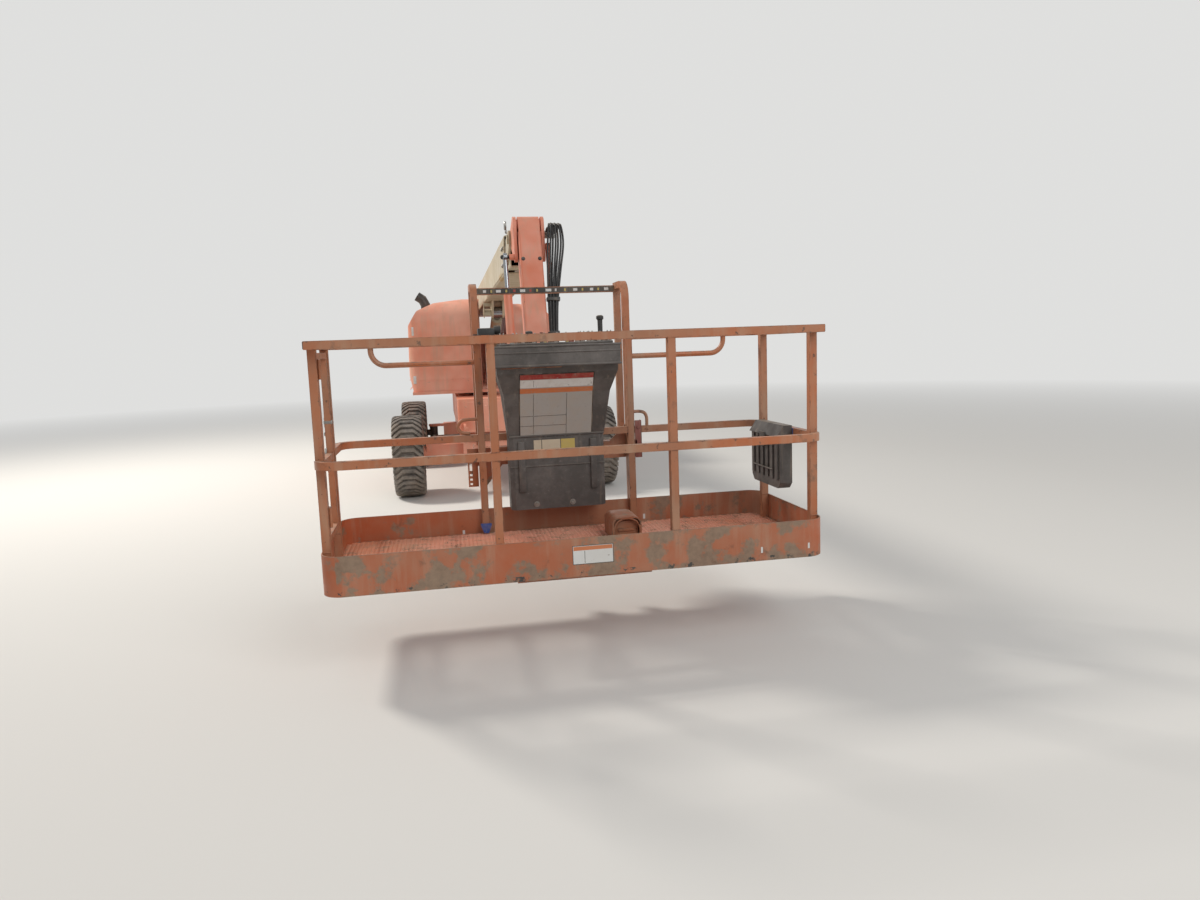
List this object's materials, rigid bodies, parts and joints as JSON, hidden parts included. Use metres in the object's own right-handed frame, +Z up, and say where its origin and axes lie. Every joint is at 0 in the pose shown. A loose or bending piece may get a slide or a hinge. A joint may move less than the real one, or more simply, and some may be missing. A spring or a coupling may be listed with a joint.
{
  "type": "telescopic boom lift",
  "caption": "Wheeled aerial work platform: turntable with hoods, telescoping boom, hanging jib and a railed two-person basket with a control console.",
  "frame": {"origin": "on the ground under the middle of the whole machine", "axes": "+Y from the platform towards the tail, +X to the right of someone who looks from the platform to the tail, +Z up"},
  "size_m": [2.44, 8.351, 2.3601],
  "materials": {
    "faded_orange": "sun-faded satin paint",
    "platform_paint": "worn orange paint with bare grey-green patches",
    "cream_paint": "satin cream paint",
    "tyre_rubber": "dusty black rubber",
    "wheel_paint": "satin off-white paint",
    "dark_plastic": "scuffed dark grey moulding",
    "rod_chrome": "polished rod",
    "bare_steel": "oiled steel",
    "black_paint": "satin black paint",
    "cast_weight": "painted casting",
    "pad_plastic": "slide pad"
  },
  "bodies": {
    "chassis": {"chassis_frame": "faded_orange", "drive_axle": "faded_orange", "steer_axle": "faded_orange", "swing_bearing": "bare_steel"},
    "turntable": {"turntable_deck": "faded_orange", "counterweight": "cast_weight", "engine_block": "black_paint", "hydraulic_tank": "black_paint", "ground_control_box": "dark_plastic"},
    "hood_left": {"hood_left": "faded_orange", "intake_pipe": "black_paint"},
    "hood_right": {"hood_right": "faded_orange"},
    "base_boom": {"base_boom": "cream_paint", "wear_pads": "pad_plastic"},
    "fly_boom": {"fly_boom": "cream_paint"},
    "lift_barrel": {"lift_barrel": "cream_paint"},
    "lift_rod": {"lift_rod": "rod_chrome"},
    "jib_base": {"jib_base": "faded_orange"},
    "jib": {"jib_tube": "faded_orange"},
    "jib_link": {"jib_link": "faded_orange"},
    "jib_barrel": {"jib_barrel": "faded_orange"},
    "jib_rod": {"jib_rod": "rod_chrome"},
    "platform_support": {"platform_support": "faded_orange"},
    "platform": {"platform_mount": "platform_paint", "platform_floor": "platform_paint", "toe_board": "platform_paint", "front_rails": "platform_paint", "rear_rails": "platform_paint", "right_rails": "platform_paint", "left_rails": "platform_paint", "console_bay": "platform_paint", "console_box": "dark_plastic", "foot_switch": "platform_paint", "document_box": "dark_plastic"},
    "gate": {"gate": "platform_paint"},
    "knuckle_left": {"knuckle_left": "black_paint"},
    "knuckle_right": {"knuckle_right": "black_paint"},
    "tie_rod": {"tie_rod": "bare_steel"},
    "drive_wheel_left": {"drive_tyre_left": "tyre_rubber", "drive_rim_left": "wheel_paint"},
    "drive_wheel_right": {"drive_tyre_right": "tyre_rubber", "drive_rim_right": "wheel_paint"},
    "steer_wheel_left": {"steer_tyre_left": "tyre_rubber", "steer_rim_left": "wheel_paint"},
    "steer_wheel_right": {"steer_tyre_right": "tyre_rubber", "steer_rim_right": "wheel_paint"}
  },
  "joints": [
    {"name": "swing", "type": "hinge", "parent": "chassis", "child": "turntable", "pos_m": [0, 2.05553, 1.035], "axis": [0, 0, 1], "continuous": true},
    {"name": "boom_lift", "type": "hinge", "parent": "turntable", "child": "base_boom", "pos_m": [0, 3.50553, 2], "axis": [-1, 0, 0], "range_deg": [0, 69]},
    {"name": "telescope", "type": "slide", "parent": "base_boom", "child": "fly_boom", "axis": [0, -0.9998, 0.0192], "range_m": [0, 4]},
    {"name": "lift_barrel_pivot", "type": "hinge", "parent": "turntable", "child": "lift_barrel", "pos_m": [0, 2.95553, 1.19], "axis": [-1, 0, 0], "range_deg": [0, 62.95]},
    {"name": "lift_rod_slide", "type": "slide", "parent": "lift_barrel", "child": "lift_rod", "axis": [0, -0.9467, 0.3221], "range_m": [0, 1.0707]},
    {"name": "boom_level", "type": "hinge", "parent": "fly_boom", "child": "jib_base", "pos_m": [0, -2.07095, 2.2371], "axis": [-1, 0, 0], "range_deg": [-69, 0]},
    {"name": "jib_lift", "type": "hinge", "parent": "jib_base", "child": "jib", "pos_m": [0, -2.26095, 2.3021], "axis": [-1, 0, 0], "range_deg": [0, 145]},
    {"name": "jib_link_pivot", "type": "hinge", "parent": "jib_base", "child": "jib_link", "pos_m": [0, -2.26095, 2.1621], "axis": [-1, 0, 0], "range_deg": [0, 145]},
    {"name": "jib_barrel_pivot", "type": "hinge", "parent": "jib", "child": "jib_barrel", "pos_m": [-0.165, -2.52753, 1.30719], "axis": [-1, 0, 0], "range_deg": [0, 4.21]},
    {"name": "jib_rod_slide", "type": "slide", "parent": "jib_barrel", "child": "jib_rod", "axis": [0, 0.2807, 0.9598], "range_m": [0, 0.4036]},
    {"name": "platform_level", "type": "hinge", "parent": "jib", "child": "platform_support", "pos_m": [0, -2.57153, 1.14299], "axis": [-1, 0, 0], "range_deg": [-145, 0]},
    {"name": "platform_rotate", "type": "hinge", "parent": "platform_support", "child": "platform", "pos_m": [0, -2.76153, 1.23], "axis": [0, 0, 1], "range_deg": [-90, 90]},
    {"name": "gate_hinge", "type": "hinge", "parent": "platform", "child": "gate", "pos_m": [-1.1697, -4.04853, 1], "axis": [0, 0, -1], "range_deg": [0, 90]},
    {"name": "hood_left_hinge", "type": "hinge", "parent": "turntable", "child": "hood_left", "pos_m": [-0.1917, 2.31553, 2.022], "axis": [0, 1, 0], "range_deg": [0, 50]},
    {"name": "hood_right_hinge", "type": "hinge", "parent": "turntable", "child": "hood_right", "pos_m": [0.1917, 2.91553, 2.022], "axis": [0, -1, 0], "range_deg": [0, 50]},
    {"name": "steer", "type": "hinge", "parent": "chassis", "child": "knuckle_left", "pos_m": [-0.755, 3.27553, 0.42], "axis": [0, 0, 1], "range_deg": [-38, 38]},
    {"name": "steer_right", "type": "hinge", "parent": "chassis", "child": "knuckle_right", "pos_m": [0.755, 3.27553, 0.42], "axis": [0, 0, 1], "range_deg": [-38, 38]},
    {"name": "tie_rod_pivot", "type": "hinge", "parent": "knuckle_left", "child": "tie_rod", "pos_m": [-0.755, 3.06553, 0.42], "axis": [0, 0, 1], "range_deg": [-38, 38]},
    {"name": "drive_wheel_left_spin", "type": "hinge", "parent": "chassis", "child": "drive_wheel_left", "pos_m": [-0.995, 0.83553, 0.42], "axis": [1, 0, 0], "continuous": true},
    {"name": "drive_wheel_right_spin", "type": "hinge", "parent": "chassis", "child": "drive_wheel_right", "pos_m": [0.995, 0.83553, 0.42], "axis": [1, 0, 0], "continuous": true},
    {"name": "steer_wheel_left_spin", "type": "hinge", "parent": "knuckle_left", "child": "steer_wheel_left", "pos_m": [-0.995, 3.27553, 0.42], "axis": [1, 0, 0], "continuous": true},
    {"name": "steer_wheel_right_spin", "type": "hinge", "parent": "knuckle_right", "child": "steer_wheel_right", "pos_m": [0.995, 3.27553, 0.42], "axis": [1, 0, 0], "continuous": true}
  ],
  "couplings": [
    {"joint": "lift_barrel_pivot", "follows": "boom_lift", "ratio": 0.90509},
    {"joint": "lift_rod_slide", "follows": "boom_lift", "m_per_rad": 0.88746},
    {"joint": "boom_level", "follows": "boom_lift", "ratio": -1},
    {"joint": "jib_link_pivot", "follows": "jib_lift", "ratio": 1},
    {"joint": "jib_barrel_pivot", "follows": "jib_lift", "ratio": 0.025593},
    {"joint": "jib_rod_slide", "follows": "jib_lift", "m_per_rad": 0.15867},
    {"joint": "platform_level", "follows": "jib_lift", "ratio": -1},
    {"joint": "steer_right", "follows": "steer", "ratio": 1},
    {"joint": "tie_rod_pivot", "follows": "steer", "ratio": -1}
  ]
}
